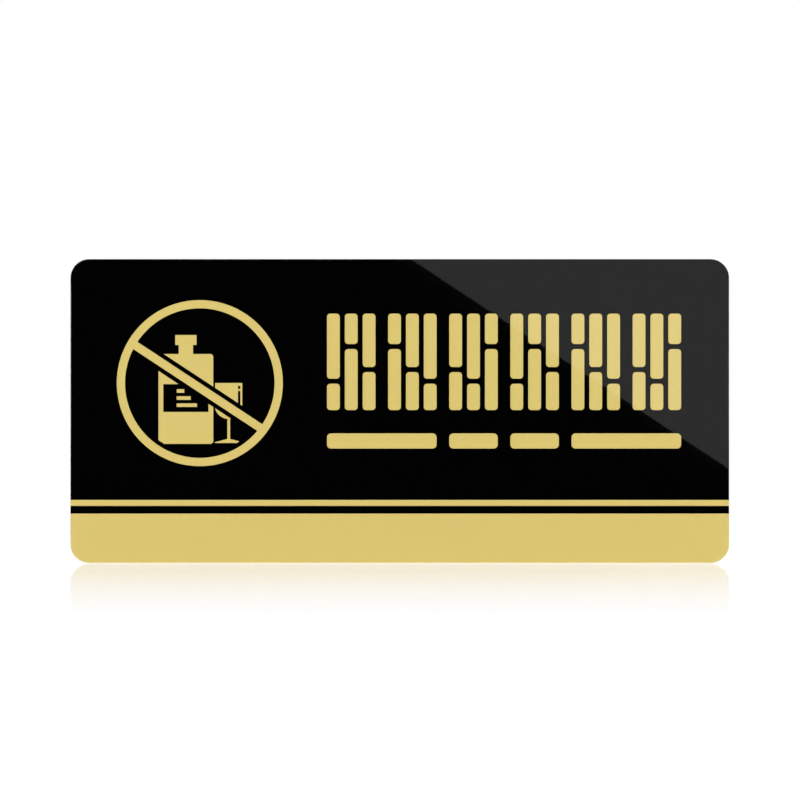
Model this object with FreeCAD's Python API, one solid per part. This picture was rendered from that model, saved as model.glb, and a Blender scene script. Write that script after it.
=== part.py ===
"""Wall sign: a clear acrylic face, printed in black and gold on its back, on foam tape.

Millimetres. +X points to the reader's right and +Z up, and the face looks along -Y.
The origin is at the middle of the wall side, in the plane of the tape's outer faces.
Layers from the wall outwards: foam tape, black ground, gold fields and clear panel.
"""
import FreeCAD
import Part

import math
import os

# Panel
panel_width = 260.0
panel_height = 120.0
panel_thickness = 3.0
panel_corner = 7.4
edge_chamfer = 0.25

# Print
ground_thickness = 0.2
gold_thickness = 0.1
ink_clearance = 0.05

# Foam tape
tape_thickness = 1.0
tape_width = 20.0
tape_side_margin = 15.0
tape_end_margin = 15.0

# Gold band and line along the bottom
band_height = 19.5
band_gap = 3.05
line_height = 2.35

# Ring and slash
content_drop = 1.4
ring_from_left = 51.0
ring_radius = 32.8
ring_width = 3.25
slash_width = 3.25
slash_angle = 33.4
slash_drop = 1.6
keep_clear = 1.75

# Bottle figure
bottle_left_of_ring = 5.5
figure_foot = 24.0
bottle_width = 21.65
bottle_shoulder = 35.5
bottle_corner = 0.8
neck_width = 5.65
neck_height = 3.55
cap_width = 8.4
cap_height = 3.95
label_side = 1.9
label_foot = 12.6
label_height = 11.0
label_bar_left = 5.3
label_bar_foot = 2.0
label_bar_height = 1.4
label_bar_gap = 1.4
label_bar_lengths = (8.0, 5.5, 3.0)

# Stemmed glass figure
figure_gap = 0.65
glass_lift = 0.35
bowl_width = 10.7
bowl_height = 14.2
bowl_round = 4.05
stem_width = 1.1
stem_height = 7.9
foot_width = 10.9
foot_rise = 1.6
foot_tip = 0.3
glint_side = 0.75
glint_width = 0.95
glint_spot_top = 1.15
glint_spot_height = 1.2
glint_streak_top = 3.15
glint_streak_height = 6.5

# Headline blocks and caption bars
text_gap = 17.45
text_right_margin = 18.4
text_rise = 0.8
headline_height = 38.1
bar_width = 5.05
bar_gap = 2.0
bars_per_block = 3
block_gap = 5.0
bar_round = 1.3
split_gap = 2.0
split_heights = (11.4, 25.1, 16.0)
caption_gap = 9.2
caption_height = 6.0
caption_round = 1.6
blocks_per_word = (2, 1, 1, 2)

# Depths, measured from the wall towards the reader, who is on the -Y side
ground_back = -tape_thickness
ground_front = ground_back - ground_thickness
gold_front = ground_front - gold_thickness
panel_back = gold_front - ink_clearance
panel_front = panel_back - panel_thickness

# Places on the face
panel_left = -panel_width / 2
panel_right = panel_width / 2
panel_low = -panel_height / 2
panel_high = panel_height / 2
line_low = panel_low + band_height + band_gap
line_high = line_low + line_height
content_z = (panel_high + line_high) / 2 - content_drop
ring_x = panel_left + ring_from_left
ring_inner = ring_radius - ring_width


def on_circle(x, z, radius, degrees):
    """Point on a circle in the plane of the face."""
    angle = math.radians(degrees)
    return FreeCAD.Vector(x + radius * math.cos(angle), 0, z + radius * math.sin(angle))


def polygon(points):
    """Face with straight sides through (x, z) points."""
    corners = [FreeCAD.Vector(x, 0, z) for x, z in points]
    return Part.Face(Part.makePolygon(corners + corners[:1]))


def mirrored(half, x, z):
    """Face symmetric about the upright line at x, from the (x, z) points of its right half."""
    right = [(x + across, z + up) for across, up in half]
    left = [(x - across, z + up) for across, up in reversed(half)]
    return polygon(right + left)


def rectangle(left, right, low, high):
    return polygon([(left, low), (right, low), (right, high), (left, high)])


def rounded_rectangle(left, right, low, high, radius):
    """Face with its four corners rounded, no further than the sides allow."""
    radius = min(radius, 0.49 * (right - left), 0.49 * (high - low))
    centres = (
        (right - radius, high - radius),
        (left + radius, high - radius),
        (left + radius, low + radius),
        (right - radius, low + radius),
    )
    arcs = []
    for quarter, (x, z) in enumerate(centres):
        ends = [on_circle(x, z, radius, 90 * quarter + step) for step in (0, 45, 90)]
        arcs.append(Part.Arc(*ends))
    edges = []
    for arc, following in zip(arcs, arcs[1:] + arcs[:1]):
        edges.append(arc.toShape())
        edges.append(Part.LineSegment(arc.EndPoint, following.StartPoint).toShape())
    return Part.Face(Part.Wire(edges))


def disc(radius):
    """Round face about the middle of the ring."""
    centre = FreeCAD.Vector(ring_x, 0, content_z)
    circle = Part.Circle(centre, FreeCAD.Vector(0, 1, 0), radius)
    return Part.Face(Part.Wire(circle.toShape()))


def slab(face, front, thickness):
    """Solid from a face in the plane y = 0, moved to front and thickened towards the wall."""
    placed = face.translated(FreeCAD.Vector(0, front, 0))
    return placed.extrude(FreeCAD.Vector(0, thickness, 0))


def gold(face):
    """Gold field on the front of the black ground."""
    return slab(face, gold_front, gold_thickness)


def outline():
    """The panel's outline, which the black ground shares."""
    return rounded_rectangle(panel_left, panel_right, panel_low, panel_high, panel_corner)


def make_panel():
    """Clear plate with a polished chamfer round its front."""
    plate = slab(outline(), panel_front, panel_thickness)
    rim = [edge for edge in plate.Edges if edge.BoundBox.YMax < panel_front + edge_chamfer / 2]
    return plate.makeChamfer(edge_chamfer, rim)


def make_band():
    """Broad field along the bottom, with the panel's lower corners."""
    field = rectangle(panel_left, panel_right, panel_low, panel_low + band_height)
    return gold(outline()).common(gold(field))


def make_line():
    return gold(rectangle(panel_left, panel_right, line_low, line_high))


def slash_bar(width, reach):
    """Straight bar across the ring, falling to the right, just below the ring's middle."""
    bar = rectangle(-reach, reach, -slash_drop - width / 2, -slash_drop + width / 2)
    bar.rotate(FreeCAD.Vector(0, 0, 0), FreeCAD.Vector(0, 1, 0), slash_angle)
    return gold(bar.translated(FreeCAD.Vector(ring_x, 0, content_z)))


def make_ring():
    """Ring and slash as one shape. The slash ends inside the ring's own width."""
    slash = slash_bar(slash_width, ring_radius).common(gold(disc(ring_radius - ring_width / 2)))
    ring = gold(disc(ring_radius)).cut(gold(disc(ring_inner)))
    return ring.fuse(slash).removeSplitter()


def kept_clear(figure):
    """Part of a figure that stays clear of ring and slash by the margin round both."""
    inside = figure.common(gold(disc(ring_inner - keep_clear)))
    return inside.cut(slash_bar(slash_width + 2 * keep_clear, ring_radius))


bottle_x = ring_x - bottle_left_of_ring
bottle_z = content_z - figure_foot


def bottle_outline():
    """Square-shouldered bottle with a neck and a cap."""
    cap_low = bottle_shoulder + neck_height
    half = [
        (bottle_width / 2 - bottle_corner, 0),
        (bottle_width / 2, bottle_corner),
        (bottle_width / 2, bottle_shoulder - bottle_corner),
        (bottle_width / 2 - bottle_corner, bottle_shoulder),
        (neck_width / 2, bottle_shoulder),
        (neck_width / 2, cap_low),
        (cap_width / 2, cap_low),
        (cap_width / 2, cap_low + cap_height),
    ]
    return gold(mirrored(half, bottle_x, bottle_z))


def make_bottle():
    """Bottle with an open label window and plain bars in it."""
    label_left = bottle_x - bottle_width / 2 + label_side
    label_right = bottle_x + bottle_width / 2 - label_side
    label_low = bottle_z + label_foot
    window = gold(rectangle(label_left, label_right, label_low, label_low + label_height))
    bars = []
    for row, length in enumerate(label_bar_lengths):
        left = label_left + label_bar_left
        low = label_low + label_bar_foot + row * (label_bar_height + label_bar_gap)
        bars.append(gold(rectangle(left, left + length, low, low + label_bar_height)))
    return kept_clear(Part.makeCompound([bottle_outline().cut(window)] + bars))


def bowl(x, low):
    """Straight-sided bowl with a rounded bottom."""
    left = x - bowl_width / 2
    right = x + bowl_width / 2
    high = low + bowl_height
    left_turn = FreeCAD.Vector(left, 0, low + bowl_round)
    right_turn = FreeCAD.Vector(right, 0, low + bowl_round)
    left_rim = FreeCAD.Vector(left, 0, high)
    right_rim = FreeCAD.Vector(right, 0, high)
    edges = [
        Part.LineSegment(left_rim, left_turn).toShape(),
        Part.Arc(left_turn, FreeCAD.Vector(x, 0, low), right_turn).toShape(),
        Part.LineSegment(right_turn, right_rim).toShape(),
        Part.LineSegment(right_rim, left_rim).toShape(),
    ]
    return gold(Part.Face(Part.Wire(edges)))


def glint(right, high):
    """The two clear marks by the bowl's right wall: a spot, and a streak below it."""
    right -= glint_side
    left = right - glint_width
    marks = []
    for top, height in (
        (glint_spot_top, glint_spot_height),
        (glint_streak_top, glint_streak_height),
    ):
        marks.append(gold(rectangle(left, right, high - top - height, high - top)))
    return Part.makeCompound(marks)


def make_glass():
    """Stemmed glass at the bottle's right."""
    x = bottle_x + bottle_width / 2 + figure_gap + max(bowl_width, foot_width) / 2
    foot_z = bottle_z + glass_lift
    stem_z = foot_z + foot_rise
    bowl_z = stem_z + stem_height
    half_foot = [
        (foot_width / 2, 0),
        (foot_width / 2, foot_tip),
        (stem_width / 2, foot_rise),
    ]
    foot = gold(mirrored(half_foot, x, foot_z))
    stem_top = bowl_z + bowl_round / 2
    stem = gold(rectangle(x - stem_width / 2, x + stem_width / 2, stem_z, stem_top))
    whole = bowl(x, bowl_z).fuse([stem, foot]).removeSplitter()
    return kept_clear(whole.cut(glint(x + bowl_width / 2, bowl_z + bowl_height)))


text_left = ring_x + ring_radius + text_gap
text_room = panel_right - text_right_margin - text_left
text_height = headline_height + caption_gap + caption_height
headline_high = content_z + text_rise + text_height / 2
headline_low = headline_high - headline_height
caption_high = headline_low - caption_gap
caption_low = caption_high - caption_height
bar_pitch = bar_width + bar_gap
block_width = bars_per_block * bar_pitch - bar_gap
block_pitch = block_width + block_gap
block_count = int((text_room + block_gap) // block_pitch)


def make_headline():
    """As many groups of upright bars as there is room for, each bar split at one of three heights."""
    bars = []
    for block in range(block_count):
        for place in range(bars_per_block):
            left = text_left + block * block_pitch + place * bar_pitch
            right = left + bar_width
            split = headline_low + split_heights[(block + place) % len(split_heights)]
            foot_end = split - split_gap / 2
            head_end = split + split_gap / 2
            bars.append(gold(rounded_rectangle(left, right, headline_low, foot_end, bar_round)))
            bars.append(gold(rounded_rectangle(left, right, head_end, headline_high, bar_round)))
    return Part.makeCompound(bars)


def make_caption():
    """Row of plain bars in the place of words, each as long as one or two headline groups."""
    bars = []
    first = 0
    for span in blocks_per_word:
        if first + span > block_count:
            break
        left = text_left + first * block_pitch
        right = left + span * block_pitch - block_gap
        bars.append(gold(rounded_rectangle(left, right, caption_low, caption_high, caption_round)))
        first += span
    return Part.makeCompound(bars)


def make_ground():
    """Black print over the whole outline, behind the gold."""
    return slab(outline(), ground_front, ground_thickness)


def make_tape(x):
    """Upright strip of foam tape."""
    strip = rectangle(
        x - tape_width / 2,
        x + tape_width / 2,
        panel_low + tape_end_margin,
        panel_high - tape_end_margin,
    )
    return slab(strip, ground_back, tape_thickness)


tape_spread = panel_width / 2 - tape_side_margin - tape_width / 2
nodes = {
    "face_panel": make_panel(),
    "black_ground": make_ground(),
    "gold_band": make_band(),
    "gold_line": make_line(),
    "prohibition_ring": make_ring(),
    "bottle_figure": make_bottle(),
    "glass_figure": make_glass(),
    "headline_blocks": make_headline(),
    "caption_bars": make_caption(),
    "tape_left": make_tape(-tape_spread),
    "tape_centre": make_tape(0),
    "tape_right": make_tape(tape_spread),
}

os.makedirs("parts", exist_ok=True)
for name, shape in nodes.items():
    shape.exportStep("parts/" + name + ".step")
    print(name, len(shape.Solids), "solids", round(shape.Volume, 2), "mm3", shape.isValid())
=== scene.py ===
"""Looks of the wall sign: a clear acrylic face over black and gold print, on foam tape."""
import math

import bpy
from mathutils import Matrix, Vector


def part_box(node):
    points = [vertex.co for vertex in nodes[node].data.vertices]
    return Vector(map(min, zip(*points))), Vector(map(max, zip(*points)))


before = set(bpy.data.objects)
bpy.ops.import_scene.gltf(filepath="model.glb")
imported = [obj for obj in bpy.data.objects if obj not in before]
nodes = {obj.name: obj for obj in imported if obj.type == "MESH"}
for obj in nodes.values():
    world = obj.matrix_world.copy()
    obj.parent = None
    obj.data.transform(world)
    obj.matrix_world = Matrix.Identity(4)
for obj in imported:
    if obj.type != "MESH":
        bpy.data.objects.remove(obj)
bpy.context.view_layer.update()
MM = 0.001

panel_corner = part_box("face_panel")[0]
FRONT_Y = panel_corner.y
FOOT_Z = panel_corner.z

tape_low, tape_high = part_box("tape_centre")
TAPE_HALF = (tape_high.y - tape_low.y) / 2
TAPE_MIDDLE_Y = tape_low.y + TAPE_HALF

# The photograph: its width at the sign's front, and where its middle falls
PHOTO_WIDTH = 315.8 * MM
PHOTO_MIDDLE = Vector((0.09 * MM, FRONT_Y, 4.38 * MM))
LENS = 300.0
SENSOR = 36.0
CLIP_END = 20.0
CAMERA_DISTANCE = PHOTO_WIDTH * LENS / SENSOR
EYE = PHOTO_MIDDLE - Vector((0, CAMERA_DISTANCE, 0))

# Nodes by their material
GOLD_NODES = (
    "gold_band",
    "gold_line",
    "prohibition_ring",
    "bottle_figure",
    "glass_figure",
    "headline_blocks",
    "caption_bars",
)
TAPE_NODES = ("tape_left", "tape_centre", "tape_right")

# Colours of the print and the tape
GOLD = (0.716, 0.571, 0.181)
BLACK = (0.0006, 0.0006, 0.0006)
FOAM = (0.72, 0.72, 0.70)
FILM = (0.66, 0.65, 0.61)
WHITE = (1, 1, 1, 1)

# The range that most values of a noise lie in, and the range of nearly all of them
NOISE_MIDDLE = (0.35, 0.65)
NOISE_SPAN = (0.3, 0.7)

# Acrylic: how squarely a face looks along Y, from cut edge to flat, and the cutter's marks across the edge
ACRYLIC_IOR = 1.49
EDGE_TO_FLAT = (0.2, 0.5)
MARKS_SCALE = 2400
MARKS_AXES = (1, 0.05, 1)
MARKS_ROUGHNESS = (0.03, 0.16)
MARKS_DEPTH = 0.03 * MM
MARKS_STRENGTH = 0.6

# Ink: its front lies on the acrylic, and its back is satin, with pull marks along X and a fine grain
FRONT_TO_BACK = (-0.5, 0.5)
SHADES_SCALE = 900
FRONT_ROUGHNESS = 0.03
PULLS_SCALE = 260
PULLS_AXES = (0.12, 1, 1)
PULLS_ROUGHNESS = (0.34, 0.52)
GRAIN_SCALE = 2500
GRAIN_DEPTH = 0.02 * MM
GRAIN_STRENGTH = 0.5

# Foam tape: its films start this far from its middle, and the adhesive wets them in patches
FILM_STARTS = (TAPE_HALF - 0.10 * MM, TAPE_HALF - 0.07 * MM)
CELLS_SCALE = 3600
CELLS_HEIGHT = 0.5
FOAM_SPREAD = 0.10
FOAM_ROUGHNESS = 0.75
WETTING_SCALE = 900
WETTING_HEIGHT = 0.35
FILM_SCALE = 350
FILM_SPREAD = 0.04
FILM_ROUGHNESS = (0.22, 0.42)
TAPE_DEPTH = 0.25 * MM
TAPE_STRENGTH = 0.7

# The streak of light on the face: two points of its straight lower edge, and the card that is mirrored there
STREAK_TOP = Vector((4.40 * MM, FRONT_Y, 59.96 * MM))
STREAK_END = Vector((129.3 * MM, FRONT_Y, -22.4 * MM))
STREAK_LEVEL = 0.285
STREAK_CARD_Y = -2.6
STREAK_CARD_REACH = 0.8

# Floor: its own white, how far out it turns plain, and how bright other rays find it
FLOOR_DROP = 0.16 * MM
FLOOR_REACH = 8.0
FLOOR_GLOW = 0.78
FLOOR_COLOUR = 0.30
FLOOR_FADE = (0.2, 0.6)
FLOOR_BOUNCE = 0.75
FLOOR_IN_GLOSS = 0.15
STEEP_TO_GRAZING = (0.0, 0.8)

# The floor's mirror: its strength, where it fades before the sign, how soon it ends behind it, and the
# painted light that brightens the floor near the sign, where the sign shades it
FLOOR_GLOSS = 0.50
FLOOR_IOR = 1.45
FLOOR_ROUGHNESS = 0.03
MIRROR_PAINTED_GLOW = 0.113
MIRROR_PAINTED_GLOW_REACH = 0.25
MIRROR_FULL = 0.047 * CAMERA_DISTANCE
MIRROR_GONE = 0.237 * CAMERA_DISTANCE
MIRROR_BEHIND = 0.03

# Surroundings: their light, and where the dark space fades, as Y and Z of a unit direction
AMBIENT = 0.45
DARK_AHEAD = (-0.85, -0.6)
DARK_LEVEL = (0.04, 0.12)


class Nodes:
    """Shorthand for building a node tree."""

    def __init__(self, tree):
        self.tree = tree
        tree.nodes.clear()

    def add(self, kind, **settings):
        node = self.tree.nodes.new(kind)
        for name, value in settings.items():
            setattr(node, name, value)
        return node

    def put(self, value, socket):
        """Links an output to a socket, or sets a plain value there."""
        if hasattr(value, "node"):
            self.tree.links.new(value, socket)
        else:
            socket.default_value = value

    def math(self, operation, first, second=0.0):
        node = self.add("ShaderNodeMath", operation=operation)
        self.put(first, node.inputs[0])
        self.put(second, node.inputs[1])
        return node.outputs["Value"]

    def times(self, first, second):
        return self.math("MULTIPLY", first, second)

    def map_range(self, value, source, target, kind="LINEAR"):
        node = self.add("ShaderNodeMapRange", interpolation_type=kind)
        node.inputs["From Min"].default_value, node.inputs["From Max"].default_value = source
        node.inputs["To Min"].default_value, node.inputs["To Max"].default_value = target
        self.put(value, node.inputs["Value"])
        return node.outputs["Result"]

    def mix(self, factor, first, second):
        node = self.add("ShaderNodeMix", data_type="FLOAT")
        self.put(factor, node.inputs["Factor"])
        self.put(first, node.inputs["A"])
        self.put(second, node.inputs["B"])
        return node.outputs["Result"]

    def mix_colours(self, factor, first, second):
        node = self.add("ShaderNodeMix", data_type="RGBA")
        ends = [socket for socket in node.inputs if socket.type == "RGBA"]
        self.put(factor, node.inputs["Factor"])
        self.put(first, ends[0])
        self.put(second, ends[1])
        return [socket for socket in node.outputs if socket.type == "RGBA"][0]

    def mix_shaders(self, factor, first, second):
        node = self.add("ShaderNodeMixShader")
        self.put(factor, node.inputs["Fac"])
        self.put(first, node.inputs[1])
        self.put(second, node.inputs[2])
        return node.outputs["Shader"]

    def add_shaders(self, first, second):
        node = self.add("ShaderNodeAddShader")
        self.put(first, node.inputs[0])
        self.put(second, node.inputs[1])
        return node.outputs["Shader"]

    def split(self, vector):
        node = self.add("ShaderNodeSeparateXYZ")
        self.put(vector, node.inputs["Vector"])
        return node.outputs["X"], node.outputs["Y"], node.outputs["Z"]

    def length(self, vector):
        node = self.add("ShaderNodeVectorMath", operation="LENGTH")
        self.put(vector, node.inputs[0])
        return node.outputs["Value"]

    def geometry(self, name):
        return self.add("ShaderNodeNewGeometry").outputs[name]

    def position(self):
        return self.add("ShaderNodeTexCoord").outputs["Object"]

    def light_path(self, name):
        return self.add("ShaderNodeLightPath").outputs[name]

    def gloss_or_glass(self):
        """One for rays that come from gloss or through glass."""
        path = self.add("ShaderNodeLightPath")
        return self.math("MAXIMUM", path.outputs["Is Glossy Ray"], path.outputs["Is Transmission Ray"])

    def fresnel(self, ior):
        node = self.add("ShaderNodeFresnel")
        node.inputs["IOR"].default_value = ior
        return node.outputs["Fac"]

    def noise(self, scale, detail=2.0, axes=(1, 1, 1)):
        """Noise with grains 1 / scale metres across, drawn out along an axis where axes is under 1."""
        place = self.add("ShaderNodeMapping")
        place.inputs["Scale"].default_value = axes
        self.put(self.position(), place.inputs["Vector"])
        node = self.add("ShaderNodeTexNoise")
        node.inputs["Scale"].default_value = scale
        node.inputs["Detail"].default_value = detail
        self.put(place.outputs["Vector"], node.inputs["Vector"])
        return node.outputs["Fac"]

    def cells(self, scale):
        node = self.add("ShaderNodeTexVoronoi")
        node.inputs["Scale"].default_value = scale
        self.put(self.position(), node.inputs["Vector"])
        return node.outputs["Distance"]

    def shades(self, factor, colour, spread):
        """Colour that runs a share of itself down and up with factor."""
        ramp = self.add("ShaderNodeValToRGB")
        low, high = ramp.color_ramp.elements
        low.position, high.position = NOISE_MIDDLE
        low.color = (*[c * (1 - spread) for c in colour], 1)
        high.color = (*[c * (1 + spread) for c in colour], 1)
        self.put(factor, ramp.inputs["Fac"])
        return ramp.outputs["Color"]

    def bump(self, height, distance, strength):
        node = self.add("ShaderNodeBump")
        node.inputs["Distance"].default_value = distance
        self.put(strength, node.inputs["Strength"])
        self.put(height, node.inputs["Height"])
        return node.outputs["Normal"]

    def principled(self, **values):
        node = self.add("ShaderNodeBsdfPrincipled")
        for name, value in values.items():
            self.put(value, node.inputs[name.replace("_", " ")])
        return node.outputs["BSDF"]

    def emission(self, strength):
        node = self.add("ShaderNodeEmission")
        self.put(strength, node.inputs["Strength"])
        return node.outputs["Emission"]

    def diffuse(self, level):
        node = self.add("ShaderNodeBsdfDiffuse")
        node.inputs["Color"].default_value = (level, level, level, 1)
        return node.outputs["BSDF"]

    def glossy(self, roughness):
        node = self.add("ShaderNodeBsdfGlossy")
        node.inputs["Roughness"].default_value = roughness
        node.inputs["Color"].default_value = WHITE
        return node.outputs["BSDF"]

    def finish(self, shader, kind="ShaderNodeOutputMaterial"):
        self.put(shader, self.add(kind).inputs["Surface"])


def new_material(name):
    material = bpy.data.materials.new(name)
    material.use_nodes = True
    return material, Nodes(material.node_tree)


def facing_y(build):
    """How far a face looks along Y, from -1 at the sign's front to 1 at its back."""
    return build.split(build.geometry("True Normal"))[1]


def clear_acrylic():
    """Clear sheet with flawless faces, and cut edges with the cutter's fine marks across them."""
    material, build = new_material("clear_acrylic")
    edge = build.map_range(build.math("ABSOLUTE", facing_y(build)), EDGE_TO_FLAT, (1, 0))
    marks = build.noise(MARKS_SCALE, detail=3, axes=MARKS_AXES)
    rough = build.map_range(marks, NOISE_MIDDLE, MARKS_ROUGHNESS)
    shader = build.principled(
        Base_Color=WHITE,
        Roughness=build.times(edge, rough),
        IOR=ACRYLIC_IOR,
        Transmission_Weight=1.0,
        Normal=build.bump(marks, MARKS_DEPTH, build.times(edge, MARKS_STRENGTH)),
    )
    build.finish(shader)
    return material


def ink(name, colour, spread, specular):
    """Printed ink: smooth where it lies on the acrylic, and satin with faint pull marks at the back."""
    material, build = new_material(name)
    back = build.map_range(facing_y(build), FRONT_TO_BACK, (0, 1))
    pulls = build.noise(PULLS_SCALE, detail=3, axes=PULLS_AXES)
    satin = build.map_range(pulls, NOISE_SPAN, PULLS_ROUGHNESS)
    grain = build.noise(GRAIN_SCALE)
    shader = build.principled(
        Base_Color=build.shades(build.noise(SHADES_SCALE), colour, spread),
        Roughness=build.mix(back, FRONT_ROUGHNESS, satin),
        Specular_IOR_Level=specular,
        Normal=build.bump(grain, GRAIN_DEPTH, build.times(back, GRAIN_STRENGTH)),
    )
    build.finish(shader)
    return material


def foam_tape():
    """White closed-cell foam between two thin films of adhesive, which are glossier than the foam."""
    material, build = new_material("foam_tape")
    off_middle = build.math("SUBTRACT", build.split(build.position())[1], TAPE_MIDDLE_Y)
    film = build.map_range(build.math("ABSOLUTE", off_middle), FILM_STARTS, (0, 1))
    wetting = build.noise(WETTING_SCALE, detail=4)
    wet_rough = build.map_range(wetting, NOISE_SPAN, FILM_ROUGHNESS)
    cells = build.cells(CELLS_SCALE)
    foam = build.shades(cells, FOAM, FOAM_SPREAD)
    adhesive = build.shades(build.noise(FILM_SCALE, detail=3), FILM, FILM_SPREAD)
    height = build.mix(film, build.times(cells, CELLS_HEIGHT), build.times(wetting, WETTING_HEIGHT))
    shader = build.principled(
        Base_Color=build.mix_colours(film, foam, adhesive),
        Roughness=build.mix(film, FOAM_ROUGHNESS, wet_rough),
        Specular_IOR_Level=0.5,
        Normal=build.bump(height, TAPE_DEPTH, TAPE_STRENGTH),
    )
    build.finish(shader)
    return material


def dress(names, material):
    for name in names:
        nodes[name].data.materials.clear()
        nodes[name].data.materials.append(material)


def let_light_through(name):
    """Lets lamps and diffuse light past a node, so that they reach the print behind it evenly."""
    nodes[name].visible_shadow = False
    nodes[name].visible_diffuse = False


def make_camera():
    data = bpy.data.cameras.new("camera")
    data.lens = LENS
    data.sensor_width = SENSOR
    data.clip_end = CLIP_END
    camera = bpy.data.objects.new("camera", data)
    bpy.context.scene.collection.objects.link(camera)
    camera.location = EYE
    camera.rotation_euler = (math.radians(90), 0, 0)
    bpy.context.scene.camera = camera


def plane_object(name, corners, material):
    mesh = bpy.data.meshes.new(name)
    mesh.from_pydata(corners, [], [list(range(len(corners)))])
    mesh.materials.append(material)
    piece = bpy.data.objects.new(name, mesh)
    bpy.context.scene.collection.objects.link(piece)
    return piece


def seen_in_face(point, card_y):
    """Where the sight line to a point of the face lands on the plane at card_y, once mirrored there."""
    run = point - EYE
    run.y = -run.y
    return point + run * ((card_y - point.y) / run.y)


def streak_material():
    """Grey for rays that come off a flawless surface, and clear for all others."""
    material, build = new_material("streak_card")
    clear = build.add("ShaderNodeBsdfTransparent").outputs["BSDF"]
    grey = build.emission(STREAK_LEVEL)
    build.finish(build.mix_shaders(build.light_path("Is Singular Ray"), clear, grey))
    return material


def make_streak_card():
    """Card with a straight edge, which only the flawless face shows: the streak of light on it."""
    top = seen_in_face(STREAK_TOP, STREAK_CARD_Y)
    end = seen_in_face(STREAK_END, STREAK_CARD_Y)
    along = (end - top) * (STREAK_CARD_REACH / (end.x - top.x))
    far_up = top - along
    far_down = end + along
    corner = Vector((far_down.x, STREAK_CARD_Y, far_up.z))
    card = plane_object("streak_card", [far_up, far_down, corner], streak_material())
    card.visible_camera = False
    card.visible_diffuse = False
    card.visible_shadow = False


def white_floor(build, place):
    """White that keeps a faint shadow near the sign, and is plain further out."""
    near = build.add_shaders(build.emission(FLOOR_GLOW), build.diffuse(FLOOR_COLOUR))
    outer = build.map_range(build.length(place), FLOOR_FADE, (0, 1))
    return build.mix_shaders(outer, near, build.emission(1.0))


def mirror_share(build, along_y, fresnel):
    """How much of the floor is mirror: less with distance before the sign, and none behind it."""
    ahead = build.map_range(along_y, (-MIRROR_GONE, -MIRROR_FULL), (0, FLOOR_GLOSS))
    before = build.map_range(along_y, (0.0, MIRROR_BEHIND), (1, 0), "SMOOTHSTEP")
    return build.times(build.times(ahead, before), fresnel)


def floor_mirror(build, along_y):
    """Mirror with painted light of its own: a glow that grows towards the sign and lifts the floor's shade
    near it.
    """
    # Painted light: the floor glows more near the sign, to lift the shade that the sign casts there.
    painted_glow = build.map_range(along_y, (-MIRROR_PAINTED_GLOW_REACH, 0), (0, MIRROR_PAINTED_GLOW))
    return build.add_shaders(build.glossy(FLOOR_ROUGHNESS), build.emission(painted_glow))


def floor_material():
    """White floor that mirrors the sign's front to the eye, and is plain to all other rays."""
    material, build = new_material("floor")
    place = build.geometry("Position")
    along_y = build.split(place)[1]
    fresnel = build.fresnel(FLOOR_IOR)
    share = mirror_share(build, along_y, fresnel)
    to_eye = build.mix_shaders(share, white_floor(build, place), floor_mirror(build, along_y))
    dim = build.emission(build.map_range(fresnel, STEEP_TO_GRAZING, (FLOOR_IN_GLOSS, 0)))
    to_others = build.mix_shaders(build.gloss_or_glass(), build.diffuse(FLOOR_BOUNCE), dim)
    build.finish(build.mix_shaders(build.light_path("Is Camera Ray"), to_others, to_eye))
    return material


def make_floor():
    z = FOOT_Z - FLOOR_DROP
    reach = FLOOR_REACH
    corners = [(-reach, -reach, z), (reach, -reach, z), (reach, reach, z), (-reach, reach, z)]
    plane_object("floor", corners, floor_material())


def dark_space(build):
    """One straight before the sign, for rays that come off a flawless surface, and zero elsewhere."""
    direction = build.split(build.add("ShaderNodeTexCoord").outputs["Generated"])
    ahead = build.map_range(direction[1], DARK_AHEAD, (1, 0), "SMOOTHSTEP")
    level = build.map_range(build.math("ABSOLUTE", direction[2]), DARK_LEVEL, (1, 0), "SMOOTHSTEP")
    return build.times(build.times(ahead, level), build.light_path("Is Singular Ray"))


def make_world():
    """White to the eye and to gloss and glass, apart from the dark space that the face shows."""
    world = bpy.data.worlds.new("world")
    bpy.context.scene.world = world
    world.use_nodes = True
    build = Nodes(world.node_tree)
    surround = build.math("SUBTRACT", 1.0, dark_space(build))
    to_others = build.mix(build.gloss_or_glass(), AMBIENT, surround)
    light = build.add("ShaderNodeBackground")
    light.inputs["Color"].default_value = WHITE
    build.put(build.mix(build.light_path("Is Camera Ray"), to_others, 1.0), light.inputs["Strength"])
    build.finish(light.outputs["Background"], "ShaderNodeOutputWorld")


def make_lamp(name, place, size, power):
    """Square lamp that looks at the origin, and doesn't show in the clear sheet."""
    data = bpy.data.lights.new(name, "AREA")
    data.shape = "SQUARE"
    data.size = size
    data.energy = power
    lamp = bpy.data.objects.new(name, data)
    bpy.context.scene.collection.objects.link(lamp)
    lamp.location = place
    lamp.rotation_euler = (-Vector(place)).to_track_quat("-Z", "Y").to_euler()
    lamp.visible_transmission = False


dress(GOLD_NODES, ink("gold_ink", GOLD, spread=0.01, specular=1.0))
dress(["black_ground"], ink("black_ink", BLACK, spread=0.2, specular=0.2))
dress(["face_panel"], clear_acrylic())
dress(TAPE_NODES, foam_tape())
let_light_through("face_panel")

make_camera()
make_streak_card()
make_floor()
make_world()
make_lamp("key", place=(0.0, -10.2, 4.5), size=4.8, power=895)
make_lamp("back_fill", place=(0.0, 2.6, 1.6), size=1.4, power=40)

bpy.context.scene.view_settings.view_transform = "Standard"
